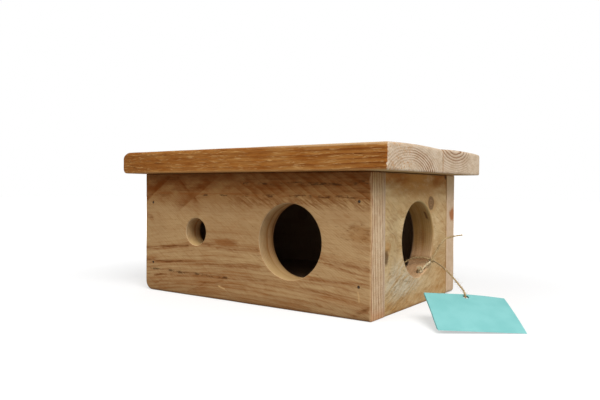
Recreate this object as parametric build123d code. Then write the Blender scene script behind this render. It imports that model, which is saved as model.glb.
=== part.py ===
from build123d import *
import math
import os

# Box of sawn boards, in millimetres: the front panel faces -Y, the drilled end faces +X
box_length = 222.0
box_depth = 151.0
wall_height = 100.4
front_thickness = 20.0
back_thickness = 18.0
end_thickness = 18.0
floor_thickness = 18.0
end_recess = 0.6            # end panels stand in from the ends of the front and back panels
end_drop = 0.4              # end panels stop this far short of the roof
arris_radius = 1.2
worn_corner_radius = 7.5    # lower left corner of the front panel
back_corner_radius = 3.0    # lower corner of the back panel at the drilled end

# Drilled holes: places along the front panel are measured from its drilled end
entrance_diameter = 56.0
entrance_from_end = 67.5
entrance_height = 49.8
small_hole_diameter = 22.4
small_hole_from_end = 161.4
small_hole_height = 52.6
end_hole_diameter = 57.6
end_hole_height = 50.1
end_hole_offset = 0.8       # from the middle of the end panel towards the back
rim_ease = 0.6
end_rim_ease = 1.4          # the end hole is worn wider at its rim

# Roof of two boards, glued edge to edge
overhang_left = 15.4
overhang_right = 17.4
overhang_front = 12.5
overhang_rear = 13.5
front_board_width = 91.6
roof_thickness = 19.0
roof_crown = 0.9            # the top of each board rises this much in its middle
roof_front_radii = (2.6, 1.2)       # eased upper and lower edges, along the front
roof_rear_radii = (4.0, 1.6)
roof_seam_radii = (1.0, 0.3)
roof_left_radii = (7.0, 4.5)        # upper and lower edges, at the sawn ends
roof_right_radii = (2.4, 1.4)
roof_corner_radius = 1.6            # upright corners

# Nails and screws, each in a hole that clears it all round
fit_clearance = 0.05
nail_sides = 8
screw_sides = 16
point_radius = 0.15
nail_length = 40.0
nail_shank_diameter = 1.6
nail_head_diameter = 2.4
nail_head_land = 0.4
nail_head_depth = 1.0
nail_point_length = 3.0
nail_sink = 0.6
left_nail_margins = (24.2, 24.6)    # up from the ground, and down from the top of the wall
right_nail_margins = (22.6, 20.5)
back_nail_margins = (23.0, 22.4)
floor_nail_count = 3
floor_nail_spacing = 62.0
screw_length = 35.0
screw_shank_diameter = 3.8
screw_head_diameter = 7.6
screw_head_land = 0.4
screw_point_length = 5.0
screw_recess_length = 4.6
screw_recess_width = 1.0
screw_recess_depth = 1.7

# Tack in the floor of the end bore, which holds the tag's twine
tack_angle = 22.0           # from the lowest line of the bore towards the back
tack_from_face = 3.4
tack_head_diameter = 2.8
tack_head_thickness = 0.5
tack_shank_diameter = 1.0
tack_length = 8.0
tack_point_length = 1.5
tack_stand = 1.4            # room under the head for the twine

# Jute twine: one knot on the rim of the end bore, two loose tails and a lead to the tag
twine_diameter = 1.2
twine_sides = 6
bend_share = 0.45
knot_radius = 2.2
knot_gap = 0.4
knot_angle = 48.48          # place on the rim, from its lowest point towards the back
knot_inset = 1.83
stopper_radius = 2.3
stopper_gap = 0.15
stopper_slip = 1.4          # the stopper hangs this far down the leaf from the hole
anchor_bend = (-2.2, -5.1, -2.8)
inner_tail_route = [(-4.5, -2.1, 2.0), (-11.0, -4.0, 2.2), (-18.0, -5.0, -0.6),
                    (-24.5, -5.3, -5.0), (-29.5, -5.0, -8.0)]
outer_tail_route = [(1.5, 4.2, 6.2), (3.5, 7.4, 11.7), (5.5, 10.7, 16.0),
                    (8.0, 17.2, 17.7), (11.0, 24.8, 18.3), (14.0, 29.3, 18.8)]
lead_route = [(8.5, -9.9, -0.3), (22.0, -25.6, -3.4), (33.0, -38.3, -7.6), (40.5, -47.0, -11.0)]
lead_over_fold = 1.7        # height of the lead's middle over the fold of the tag

# Bare card tag, folded once and closed: it leans on the ground and hangs by its fold
tag_width = 55.4
tag_leaf = 42.9
tag_thickness = 0.4
tag_gap = 0.5               # between the two leaves
tag_slope = 22.5
tag_heading = 36.85
tag_roll = 2.4
tag_fold_from_knot = (44.0, -51.9)
tag_hole_diameter = 4.0
tag_hole_from_fold = 4.0

cut_margin = 2.0            # cutting tools run this far past the wood

# Frame: the origin lies on the ground under the middle of the roof
roof_length = overhang_left + box_length + overhang_right
roof_depth = overhang_front + box_depth + overhang_rear
x_left = overhang_left - roof_length / 2
x_right = x_left + box_length
y_front = overhang_front - roof_depth / 2
y_back = y_front + box_depth
y_seam = front_board_width - roof_depth / 2

# Inner faces of the walls, and the middle of each end panel's thickness
y_inner_front = y_front + front_thickness
y_inner_back = y_back - back_thickness
x_end_face = x_right - end_recess
x_inner_right = x_end_face - end_thickness
x_inner_left = x_left + end_recess + end_thickness
x_mid_right = x_end_face - end_thickness / 2
x_mid_left = x_inner_left - end_thickness / 2
end_hole_y = (y_inner_front + y_inner_back) / 2 + end_hole_offset
end_hole_radius = end_hole_diameter / 2
screw_head_z = wall_height + roof_thickness - roof_crown


def block(low, high):
    """A board as sawn, between two opposite corners."""
    size = [b - a for a, b in zip(low, high)]
    return Pos(*low) * Box(*size, align=(Align.MIN, Align.MIN, Align.MIN))


def turned(outline):
    """A round solid about Z from its outline, given as radius and height."""
    return revolve(Plane.XZ * make_face(Polyline(*outline, close=True)), Axis.Z)


def facing(origin, outward):
    """Place for a fastener or drill whose +Z points out of the wood."""
    return Plane(origin=origin, z_dir=outward).location


def bore(diameter, depth, ease):
    """Drill for a through hole with an eased rim, entering at z = 0 and running down."""
    radius = diameter / 2
    outline = [(0, cut_margin), (radius + ease + cut_margin, cut_margin), (radius, -ease),
               (radius, -depth - cut_margin), (0, -depth - cut_margin)]
    return turned(outline)


def faceted(sides, outline):
    """A many-sided solid about Z, from its half width across flats at each height, listed downwards."""
    return loft([Pos(0, 0, height) * RegularPolygon(half, sides, major_radius=False) for half, height in outline],
                ruled=True)


def nail(grow=0.0, rise=0.0):
    """Lost-head nail, driven down from z = 0; grown and raised, it is the hole that clears it."""
    head = nail_head_diameter / 2 + grow
    shank = nail_shank_diameter / 2 + grow
    return faceted(nail_sides, [(head, rise), (head, -nail_head_land), (shank, -nail_head_depth),
                                (shank, nail_point_length - nail_length), (point_radius, -nail_length - grow)])


def screw(grow=0.0, rise=0.0):
    """Countersunk screw, driven down from z = 0; grown and raised, it is the hole that clears it."""
    head = screw_head_diameter / 2 + grow
    shank = screw_shank_diameter / 2 + grow
    return faceted(screw_sides, [(head, rise), (head, -screw_head_land), (shank, shank - head - screw_head_land),
                                 (shank, screw_point_length - screw_length), (point_radius, -screw_length - grow)])


def tack(grow=0.0):
    """Small flat-headed tack with the underside of its head at z = tack_stand."""
    shank = tack_shank_diameter / 2 + grow
    top = tack_stand + tack_head_thickness
    tip = top - tack_length
    head = faceted(nail_sides, [(tack_head_diameter / 2, top), (tack_head_diameter / 2, tack_stand)])
    return head + faceted(nail_sides, [(shank, tack_stand), (shank, tip + tack_point_length),
                                       (point_radius, tip - grow)])


def end_nail_places(y, outward, left_margins, right_margins):
    """Two nails into the edge of each end panel."""
    places = []
    for x, margins in ((x_mid_left, left_margins), (x_mid_right, right_margins)):
        for z in (margins[0], wall_height - margins[1]):
            places.append(facing((x, y, z), outward))
    return places


def row_places(y, outward):
    """A row of nails through the back panel into the edge of the floor board."""
    middle = (x_inner_left + x_inner_right) / 2
    first = middle - floor_nail_spacing * (floor_nail_count - 1) / 2
    return [facing((first + i * floor_nail_spacing, y, floor_thickness / 2), outward)
            for i in range(floor_nail_count)]


front_nail_places = end_nail_places(y_front + nail_sink, (0, -1, 0), left_nail_margins, right_nail_margins)
back_nail_places = end_nail_places(y_back - nail_sink, (0, 1, 0), back_nail_margins, back_nail_margins)
floor_nail_places = row_places(y_back - nail_sink, (0, 1, 0))
screw_places = [facing((x, y, screw_head_z), (0, 0, 1))
                for x in (x_mid_left, x_mid_right)
                for y in ((y_inner_front + y_seam) / 2, (y_seam + y_inner_back) / 2)]
nail_holes = [place * nail(fit_clearance, cut_margin)
              for place in front_nail_places + back_nail_places + floor_nail_places]
screw_holes = [place * screw(fit_clearance, cut_margin) for place in screw_places]

tack_turn = math.radians(tack_angle)
tack_inward = Vector(0, -math.sin(tack_turn), math.cos(tack_turn))
tack_foot = Vector(x_end_face - tack_from_face, end_hole_y, end_hole_height) - tack_inward * end_hole_radius
tack_place = facing(tack_foot, tack_inward)


def front_panel():
    panel = block((x_left, y_front, 0), (x_right, y_inner_front, wall_height))
    lower_left = panel.edges().filter_by(Axis.Y).group_by(Axis.Z)[0].sort_by(Axis.X)[0]
    panel = fillet(lower_left, worn_corner_radius)
    panel = fillet(panel.faces().sort_by(Axis.Y)[0].edges(), arris_radius)
    holes = ((entrance_from_end, entrance_height, entrance_diameter),
             (small_hole_from_end, small_hole_height, small_hole_diameter))
    for from_end, height, diameter in holes:
        drill = bore(diameter, front_thickness, rim_ease)
        panel -= facing((x_right - from_end, y_front, height), (0, -1, 0)) * drill
    return panel - nail_holes


def back_panel():
    panel = block((x_left, y_inner_back, 0), (x_right, y_back, wall_height))
    lower_right = panel.edges().filter_by(Axis.Y).group_by(Axis.Z)[0].sort_by(Axis.X)[-1]
    panel = fillet(lower_right, back_corner_radius)
    panel = fillet(panel.faces().sort_by(Axis.Y)[-1].edges(), arris_radius)
    return panel - nail_holes


def end_panel(x_low, x_high):
    return block((x_low, y_inner_front, 0), (x_high, y_inner_back, wall_height - end_drop))


def left_end_panel():
    return end_panel(x_left + end_recess, x_inner_left) - nail_holes - screw_holes


def right_end_panel():
    panel = end_panel(x_inner_right, x_end_face)
    drill = bore(end_hole_diameter, end_thickness, end_rim_ease)
    panel -= facing((x_end_face, end_hole_y, end_hole_height), (1, 0, 0)) * drill
    return panel - nail_holes - screw_holes - tack_place * tack(fit_clearance)


def floor_board():
    board = block((x_inner_left, y_inner_front, 0), (x_inner_right, y_inner_back, floor_thickness))
    return board - nail_holes


def eased_corner(face, place, radius):
    """A flat outline with one corner rounded."""
    return fillet(face.vertices().sort_by_distance((*place, 0))[0], radius)


def roof_board(y_low, y_high, low_radii, high_radii):
    """Board with a crowned top, shaped from its section, its side view and its plan."""
    shoulder = roof_thickness - roof_crown
    sides = Polyline((y_low, shoulder), (y_low, 0), (y_high, 0), (y_high, shoulder))
    crown = ThreePointArc((y_high, shoulder), ((y_low + y_high) / 2, roof_thickness), (y_low, shoulder))
    section = make_face(sides + crown)
    for y, (upper, lower) in ((y_low, low_radii), (y_high, high_radii)):
        section = eased_corner(section, (y, shoulder), upper)
        section = eased_corner(section, (y, 0), lower)
    side_view = Pos(0, roof_thickness / 2) * Rectangle(roof_length, roof_thickness)
    for x, (upper, lower) in ((-roof_length / 2, roof_left_radii), (roof_length / 2, roof_right_radii)):
        side_view = eased_corner(side_view, (x, roof_thickness), upper)
        side_view = eased_corner(side_view, (x, 0), lower)
    plan = RectangleRounded(roof_length, roof_depth, roof_corner_radius)
    board = extrude(Plane.YZ * section, roof_length / 2, both=True)
    board &= extrude(Plane.XZ * side_view, roof_depth / 2, both=True)
    board &= extrude(plan, roof_thickness)
    return Pos(0, 0, wall_height) * board - screw_holes


def roof_screw(place):
    slot = Pos(0, 0, -screw_recess_depth / 2) * Box(screw_recess_length, screw_recess_width, screw_recess_depth)
    return place * (screw() - slot - Rot(Z=90) * slot)


# The tag rests on its lower edge: its frame has X along the fold and -Y towards the front
knot_turn = math.radians(knot_angle)
knot_ring = end_hole_radius - knot_inset
knot_place = Vector(x_end_face + knot_radius + knot_gap,
                    end_hole_y + knot_ring * math.sin(knot_turn),
                    end_hole_height - knot_ring * math.cos(knot_turn))
slope = math.radians(tag_slope)
fold_height = tag_leaf * math.sin(slope)
tag_depth = 2 * tag_thickness + tag_gap
tag_lift = tag_width / 2 * math.sin(math.radians(tag_roll))
tag_place = (Pos(knot_place.X + tag_fold_from_knot[0], knot_place.Y + tag_fold_from_knot[1], tag_lift)
             * Rot(Z=tag_heading) * Rot(Y=tag_roll))
tag_hole_local = Plane(origin=(0, -tag_hole_from_fold * math.cos(slope),
                               fold_height - tag_hole_from_fold * math.sin(slope)),
                       x_dir=(1, 0, 0), z_dir=(0, -math.sin(slope), math.cos(slope))).location


def hairpin(length, depth):
    """A long strip with one round end, below its upper line, which starts at the origin and runs to -X."""
    turn = Pos(-tag_depth / 2, -tag_depth / 2)
    return turn * Circle(depth / 2) + turn * Pos(-length / 2, 0) * Rectangle(length, depth)


def swing_tag():
    """Two leaves from one fold, cut off level where they meet the ground."""
    along_leaf = Plane(origin=(0, 0, fold_height), x_dir=(0, math.cos(slope), math.sin(slope)), z_dir=(1, 0, 0))
    section = hairpin(2 * tag_leaf, tag_depth) - hairpin(2 * tag_leaf, tag_gap)
    card = extrude(along_leaf * section, tag_width / 2, both=True)
    card &= Box(2 * tag_width, 4 * tag_leaf, 2 * fold_height, align=(Align.CENTER, Align.CENTER, Align.MIN))
    card -= tag_hole_local * Cylinder(tag_hole_diameter / 2, 2 * (cut_margin + tag_depth))
    return tag_place * card


def local_point(place):
    return Vector(*place.position)


tag_hole = local_point(tag_place * tag_hole_local)
tag_fold = local_point(tag_place * Pos(0, 0, fold_height))
stopper_depth = tag_depth + stopper_gap + stopper_radius
stopper_place = local_point(tag_place * tag_hole_local * Pos(0, -stopper_slip, -stopper_depth))


def knot(place, radius):
    """A tight round knot, flattened on all sides."""
    cube = Box(2 * radius, 2 * radius, 2 * radius)
    return Pos(*place) * (cube & Rot(X=45) * cube & Rot(Y=45) * cube & Rot(Z=45) * cube)


twine_knot = knot(knot_place, knot_radius)
tag_stopper_knot = knot(stopper_place, stopper_radius)


def from_knot(route):
    return [knot_place] + [knot_place + Vector(*offset) for offset in route]


def bend_radii(points):
    """The largest arc that each corner's two runs leave room for."""
    radii = []
    for before, corner, after in zip(points, points[1:], points[2:]):
        run_in = corner - before
        run_out = after - corner
        half_turn = math.radians(run_in.get_angle(run_out)) / 2
        radii.append(bend_share * min(run_in.length, run_out.length) / math.tan(half_turn))
    return radii


def strand(name, points):
    """Twine along straight runs and tangent arcs, cut where a knot or the tack holds it."""
    radii = bend_radii(points)
    path = FilletPolyline(*points, radius=radii)
    start = Plane(origin=points[0], z_dir=points[1] - points[0])
    section = RegularPolygon(twine_diameter / 2, twine_sides)
    tube = sweep(start * section, path)
    print(name, "length", round(path.length, 1), "volume ratio", round(tube.volume / section.area / path.length, 4),
          "radii", [round(radius, 1) for radius in radii])
    return tube - twine_knot - tag_stopper_knot - tack_place * tack()


anchor_start = tack_foot + tack_inward * (tack_stand / 2)
anchor_points = [anchor_start, knot_place + Vector(*anchor_bend), knot_place]
lead_points = from_knot(lead_route) + [tag_fold + Vector(0, 0, lead_over_fold), tag_hole, stopper_place]

parts = {
    "front_panel": front_panel(),
    "back_panel": back_panel(),
    "left_end_panel": left_end_panel(),
    "right_end_panel": right_end_panel(),
    "floor_board": floor_board(),
    "front_roof_board": roof_board(-roof_depth / 2, y_seam, roof_front_radii, roof_seam_radii),
    "rear_roof_board": roof_board(y_seam, roof_depth / 2, roof_seam_radii, roof_rear_radii),
    "front_nails": Compound(children=[place * nail() for place in front_nail_places]),
    "back_nails": Compound(children=[place * nail() for place in back_nail_places]),
    "floor_nails": Compound(children=[place * nail() for place in floor_nail_places]),
    "roof_screws": Compound(children=[roof_screw(place) for place in screw_places]),
    "twine_tack": tack_place * tack(),
    "twine_knot": twine_knot,
    "twine_anchor_strand": strand("anchor strand", anchor_points),
    "twine_inner_tail": strand("inner tail", from_knot(inner_tail_route)),
    "twine_outer_tail": strand("outer tail", from_knot(outer_tail_route)),
    "twine_tag_lead": strand("tag lead", lead_points),
    "tag_stopper_knot": tag_stopper_knot,
    "swing_tag": swing_tag(),
}

os.makedirs("parts", exist_ok=True)
for name, shape in parts.items():
    export_step(shape, f"parts/{name}.step")
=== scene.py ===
"""Looks of a low birdhouse: weathered boards, steel fasteners, jute twine and a bare card tag."""
import math
import random

import bpy
import numpy as np
from mathutils import Matrix, Vector, noise


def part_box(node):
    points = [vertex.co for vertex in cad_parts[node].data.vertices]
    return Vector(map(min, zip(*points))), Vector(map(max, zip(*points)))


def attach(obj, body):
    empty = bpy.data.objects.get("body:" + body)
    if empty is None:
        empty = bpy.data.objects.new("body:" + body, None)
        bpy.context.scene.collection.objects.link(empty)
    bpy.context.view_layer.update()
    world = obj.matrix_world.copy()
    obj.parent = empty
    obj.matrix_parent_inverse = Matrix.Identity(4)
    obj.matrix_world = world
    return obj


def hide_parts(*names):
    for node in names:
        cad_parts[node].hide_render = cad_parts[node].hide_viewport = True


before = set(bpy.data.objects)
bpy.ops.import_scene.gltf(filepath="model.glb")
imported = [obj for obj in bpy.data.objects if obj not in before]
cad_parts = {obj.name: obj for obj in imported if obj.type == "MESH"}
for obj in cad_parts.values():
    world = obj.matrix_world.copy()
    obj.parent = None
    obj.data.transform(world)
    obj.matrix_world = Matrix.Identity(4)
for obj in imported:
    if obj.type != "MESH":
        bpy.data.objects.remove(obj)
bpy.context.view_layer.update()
scene = bpy.context.scene

# Lengths below are in millimetres; meshes become metres as they are made
MM = 0.001

FORWARD, BACKWARD, UPWARD, TO_RIGHT = (0, -1, 0), (0, 1, 0), (0, 0, 1), (1, 0, 0)

# Drilled holes: centre across and up the face, and diameter
ENTRANCE = (42.5, 49.8, 56.0)
SMALL_HOLE = (-51.4, 52.6, 22.4)
END_HOLE = (1.3, 50.1, 57.6)
RIM_RADIUS = 0.7
END_RIM_RADIUS = 1.4
ENTRANCE_TEAR = 2.0
SMALL_HOLE_TEAR = 3.4

# Fasteners: their sizes, and where their heads lie
NAIL_SINK = 0.6
NAIL_MOUTH = 0.85
NAIL_LENGTH = 40.0
LEFT_NAIL_X = -102.4
RIGHT_NAIL_X = 100.4
FRONT_NAILS = ((LEFT_NAIL_X, 24.2), (LEFT_NAIL_X, 75.8), (RIGHT_NAIL_X, 22.6), (RIGHT_NAIL_X, 79.9))
BACK_NAILS = tuple((x, z) for x in (LEFT_NAIL_X, RIGHT_NAIL_X) for z in (23.0, 78.0))
FLOOR_NAILS = tuple((x, 9.0) for x in (-63.0, -1.0, 61.0))
SCREW_Z = 118.5
SCREWS = tuple((x, y) for x in (LEFT_NAIL_X, RIGHT_NAIL_X) for y in (-26.45, 30.05))
SCREW_LENGTH = 35.0
THREAD_TOP = -12.0
THREAD_PITCH = 2.2
THREAD_COUNT = 9
TACK_FOOT = Vector((106.0, 12.09, 23.4))
TACK_OUT = Vector((0.0, -0.3746, 0.9272))
TACK_STAND = 1.4
TACK_TOP = TACK_STAND + 0.5

# Twine: the knot on the rim of the end hole, and the routes of the strands from it
TWINE = 1.2
STRAND_LAY = 5.2
KNOT_LAY = 4.4
KNOT = Vector((112.0, 21.49, 32.22))
KNOT_RADIUS = 2.3
INNER_TAIL = [(-4.5, -2.1, 2.0), (-11.0, -4.0, 2.2), (-18.0, -5.0, -0.6), (-24.5, -5.3, -5.0),
              (-29.5, -5.0, -8.0)]
OUTER_TAIL = [(1.5, 4.2, 6.2), (3.5, 7.4, 11.7), (5.5, 10.7, 16.0), (8.0, 17.2, 17.7), (11.0, 24.8, 18.3),
              (14.0, 29.3, 18.8)]
ANCHOR_BEND = (-2.2, -5.1, -2.8)
LEAD = [(8.5, -9.9, -0.3), (22.0, -25.6, -3.4), (33.0, -38.3, -7.6), (40.5, -47.0, -11.0)]
LEAD_OVER_FOLD = 1.7
FIBRE_SEED = 11

# Card tag: folded once and closed, leaning on the ground
TAG_WIDTH = 55.4
TAG_LEAF = 42.9
TAG_THICKNESS = 0.4
TAG_GAP = 0.5
TAG_DEPTH = 2 * TAG_THICKNESS + TAG_GAP
TAG_SLOPE = math.radians(22.5)
TAG_HOLE_DIAMETER = 4.0
TAG_HOLE_FROM_FOLD = 4.0
STOPPER_RADIUS = 2.3
STOPPER_SLIP = 1.4
STOPPER_DEPTH = 3.75
TAG_PLACE = (Matrix.Translation((156.0, -30.41, 1.16)) @ Matrix.Rotation(math.radians(36.85), 4, "Z")
             @ Matrix.Rotation(math.radians(2.4), 4, "Y"))
TAG_RISE = TAG_LEAF * math.sin(TAG_SLOPE)

# Ground, and the camera of the photograph, whose place is in metres
GROUND_HALF = 4000
GROUND_DROP = -0.05
CAMERA_PLACE = (0.29538, -0.42344, 0.08891)
CAMERA_TURN = math.radians(34.988)
CAMERA_DIP = math.radians(1.174)
CAMERA_ROLL = math.radians(0.316)
CAMERA_LENS = 35.65
CAMERA_SENSOR = 36.0

# Boards: distances of grid lines from an edge, and the angle past which an edge stays sharp
EDGE_STEPS = np.array([0.0, 0.35, 0.8, 1.4, 2.2, 3.2, 4.5, 6.0])
SHARP_ANGLE = 40

# Colour sockets of a node that mixes, behind those for numbers and places
MIX_COLOURS = slice(6, 8)
MIX_RESULT = 2


def box(node):
    """Lowest and highest corners of a node."""
    return (np.array(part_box(node)) / MM).tolist()


FRONT_LOW, FRONT_HIGH = box("front_panel")
BACK_LOW, BACK_HIGH = box("back_panel")
RIGHT_LOW, RIGHT_HIGH = box("right_end_panel")
FRONT_Y, BACK_Y, END_X = FRONT_LOW[1], BACK_HIGH[1], RIGHT_HIGH[0]
FRONT_DEPTH = FRONT_HIGH[1] - FRONT_Y
END_DEPTH = END_X - RIGHT_LOW[0]
HALF_LENGTH = FRONT_HIGH[0]
ROOF_END, ROOF_SEAM = box("front_roof_board")[1][:2]

# Nest space between the boards
CAVITY_LOW = (box("left_end_panel")[1][0], FRONT_HIGH[1], box("floor_board")[1][2])
CAVITY_HIGH = (RIGHT_LOW[0], BACK_LOW[1], FRONT_HIGH[2])


def paint(red, green, blue):
    """A display colour, 0 to 255, as the linear colour that shaders take."""
    parts = [value / 255 for value in (red, green, blue)]
    linear = [part / 12.92 if part <= 0.04045 else ((part + 0.055) / 1.055) ** 2.4 for part in parts]
    return (*linear, 1.0)


def calculation(operation):
    """A method that works one operation on a value and the others it is given."""
    def work(value, *others):
        return value.finish.calc(operation, value, *others)
    return work


class Value:
    """A number, place or colour inside a material, with the arithmetic that finishes are written in."""

    __add__ = __radd__ = calculation("ADD")
    __mul__ = __rmul__ = calculation("MULTIPLY")
    __sub__ = calculation("SUBTRACT")
    __truediv__ = calculation("DIVIDE")
    __abs__ = calculation("ABSOLUTE")
    larger = calculation("MAXIMUM")
    smaller = calculation("MINIMUM")
    power = calculation("POWER")
    root = calculation("SQRT")
    cycle = calculation("FRACT")

    def __init__(self, finish, socket):
        self.finish = finish
        self.socket = socket

    def __rsub__(self, other):
        return self.finish.calc("SUBTRACT", other, self)

    def step(self, low, high):
        """0 at low, 1 at high, with soft ends; low may be the larger."""
        flip = low > high
        ends = (min(low, high), max(low, high), float(flip), float(not flip))
        looks = {"interpolation_type": "SMOOTHSTEP", "clamp": False}
        made = self.finish.node("ShaderNodeMapRange", self, *ends, **looks)
        return Value(self.finish, made.outputs[0])

    def ramp(self, *stops):
        """Colour or shade by value, from stops of place and colour."""
        made = self.finish.node("ShaderNodeValToRGB", self)
        elements = made.color_ramp.elements
        while len(elements) < len(stops):
            elements.new(1.0)
        for element, (place, colour) in zip(elements, stops):
            element.position = place
            element.color = paint(*colour) if isinstance(colour, tuple) else (colour, colour, colour, 1)
        return Colour(self.finish, made.outputs[0])

    def late_wood(self):
        """0 in the pale early wood of each ring, rising to 1 in its dark late wood."""
        return self.cycle().ramp((0.0, 0.0), (0.4, 0.12), (0.84, 1.0), (0.95, 0.8), (1.0, 0.0))


class Colour(Value):
    """A colour that is built up in layers."""

    def lay(self, mask, strength, tint):
        """Lays a tint over the colour where the mask shows."""
        self.socket = self.finish.mix(mask * strength, self, tint).socket

    def shade(self, mask, shares):
        """Paints shade: darkens the colour to these shares of red, green and blue where the mask shows."""
        self.socket = self.finish.mix(mask, self, (*shares, 1.0), "MULTIPLY").socket


class Finish:
    """A material's nodes, with places in millimetres and short calls for the nodes that finishes share."""

    def __init__(self, name):
        self.material = bpy.data.materials.new(name)
        self.material.use_nodes = True
        self.tree = self.material.node_tree
        self.tree.nodes.clear()
        self.shader = self.node("ShaderNodeBsdfPrincipled")
        out = self.node("ShaderNodeOutputMaterial")
        self.tree.links.new(self.shader.outputs["BSDF"], out.inputs["Surface"])
        coordinates = self.node("ShaderNodeTexCoord").outputs
        self.place = self.mapped(Value(self, coordinates["Object"]), (0, 0, 0), (MM, MM, MM))
        self.axes = self.parts(self.place)
        self.facing = [abs(part) for part in self.parts(Value(self, coordinates["Normal"]))]

    def node(self, kind, *values, **settings):
        """A node with these settings, its first inputs fed with these values."""
        made = self.tree.nodes.new(kind)
        for setting, value in settings.items():
            setattr(made, setting, value)
        for socket, value in zip(made.inputs, values):
            self.feed(socket, value)
        return made

    def feed(self, socket, value):
        if isinstance(value, Value):
            self.tree.links.new(value.socket, socket)
        else:
            socket.default_value = value

    def fill(self, made, values):
        """Feeds the named inputs of a node."""
        for name, value in values.items():
            self.feed(made.inputs[name], value)

    def calc(self, operation, *values):
        return Value(self, self.node("ShaderNodeMath", *values, operation=operation).outputs[0])

    def vector(self, operation, *values, scale=None):
        made = self.node("ShaderNodeVectorMath", *values, operation=operation)
        if scale:
            self.feed(made.inputs["Scale"], scale)
        return Value(self, made.outputs["Value" if operation in ("DOT_PRODUCT", "LENGTH") else "Vector"])

    def parts(self, vector):
        return [Value(self, part) for part in self.node("ShaderNodeSeparateXYZ", vector).outputs]

    def point(self, x, y, z):
        return Value(self, self.node("ShaderNodeCombineXYZ", x, y, z).outputs[0])

    def mapped(self, place, offset, size):
        """A place in units of the size, then moved by the offset."""
        made = self.node("ShaderNodeMapping", place, offset, (0, 0, 0), [1 / length for length in size])
        return Value(self, made.outputs[0])

    def grain(self, size, detail=3.0, roughness=0.55, warp=0.0, offset=(0, 0, 0), place=None):
        """Noise from 0 to 1 whose blots are about this size along each axis."""
        made = self.node("ShaderNodeTexNoise", self.mapped(place or self.place, offset, size))
        self.fill(made, {"Scale": 1.0, "Detail": detail, "Roughness": roughness, "Distortion": warp})
        return Value(self, made.outputs["Fac"])

    def fibre(self, axis, length, width, **more):
        """Fine streaks along one axis."""
        size = [width] * 3
        size[axis] = length
        return self.grain(size, detail=4.0, roughness=0.62, **more)

    def sway(self, amount, size, **more):
        """Noise about zero, this many units high and low."""
        return (self.grain(size, **more) - 0.5) * (2 * amount)

    def mix(self, share, first, second, blend="MIX"):
        """Part of one colour and part of another; three numbers are a display colour."""
        made = self.node("ShaderNodeMix", share, data_type="RGBA", blend_type=blend)
        for socket, colour in zip(made.inputs[MIX_COLOURS], (first, second)):
            self.feed(socket, paint(*colour) if isinstance(colour, tuple) and len(colour) == 3 else colour)
        return Colour(self, made.outputs[MIX_RESULT])

    def stroke(self, place, start, end, half_width):
        """1 along the line from start to end, falling to 0 at the half width."""
        run = Vector(end) - Vector(start)
        offset = self.vector("SUBTRACT", place, start)
        along = self.vector("DOT_PRODUCT", offset, run / run.length_squared).larger(0.0)
        nearest = self.vector("SCALE", run, scale=along.smaller(1.0))
        return self.vector("LENGTH", self.vector("SUBTRACT", offset, nearest)).step(half_width, 0.0)

    def flank(self, place, start, end, fade):
        """1 along the left of the line from start to end, fading away from it; nothing on its right."""
        run = Vector(end) - Vector(start)
        offset = self.vector("SUBTRACT", place, start)
        across = self.vector("DOT_PRODUCT", offset, Vector((-run.z, 0, run.x)) / run.length)
        along = self.vector("DOT_PRODUCT", offset, run / run.length_squared)
        ends = along.step(-0.2, 0.15) * along.step(1.2, 0.9)
        return across.step(-1.0, 0.6) * across.step(fade, 0.0) * ends

    def spot(self, place, centre, radii=(1, 1, 1)):
        """Distance from a spot's centre, in shares of its radii."""
        return self.vector("LENGTH", self.vector("DIVIDE", self.vector("SUBTRACT", place, centre), radii))

    def bump(self, height, strength, distance):
        made = self.node("ShaderNodeBump")
        self.fill(made, {"Height": height, "Strength": strength, "Distance": distance * MM})
        self.feed(self.shader.inputs["Normal"], Value(self, made.outputs[0]))

    def done(self, colour, roughness, specular=0.04):
        looks = {"Base Color": colour, "Roughness": roughness, "Specular IOR Level": specular}
        self.fill(self.shader, looks)
        return self.material


def paint_shade_inside(wood, colour):
    """Paints shade on the walls of the nest space, darkening them."""
    inside = 1.0
    for part, low, high in zip(wood.axes, CAVITY_LOW, CAVITY_HIGH):
        inside = inside * part.step(low - 1.2, low - 0.4) * part.step(high + 1.2, high + 0.4)
    colour.lay(inside, 0.85, (114, 92, 74))


def bore_tones(wood, depth, thickness, seed):
    """Drilled wood: pale at the rim, with uneven brown growth lines that keep to one depth."""
    uneven = wood.sway(1.7, (26, 26, 26), detail=2.0, offset=(seed, 0, 0))
    colour = ((depth + uneven) / thickness).ramp(
        (0.0, (196, 168, 128)), (0.2, (188, 156, 112)), (0.42, (172, 136, 92)), (0.5, (156, 108, 60)),
        (0.58, (184, 146, 102)), (0.74, (174, 134, 88)), (0.82, (138, 96, 56)), (0.9, (160, 122, 82)),
        (1.0, (140, 104, 68)))
    colour.lay(((depth + uneven * 1.5) / 1.8).late_wood(), 0.42, (136, 92, 52))
    colour.lay(wood.grain((9, 9, 9), detail=4.0, offset=(0, seed, 0)).step(0.45, 0.7), 0.4, (150, 112, 72))
    return colour


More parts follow.
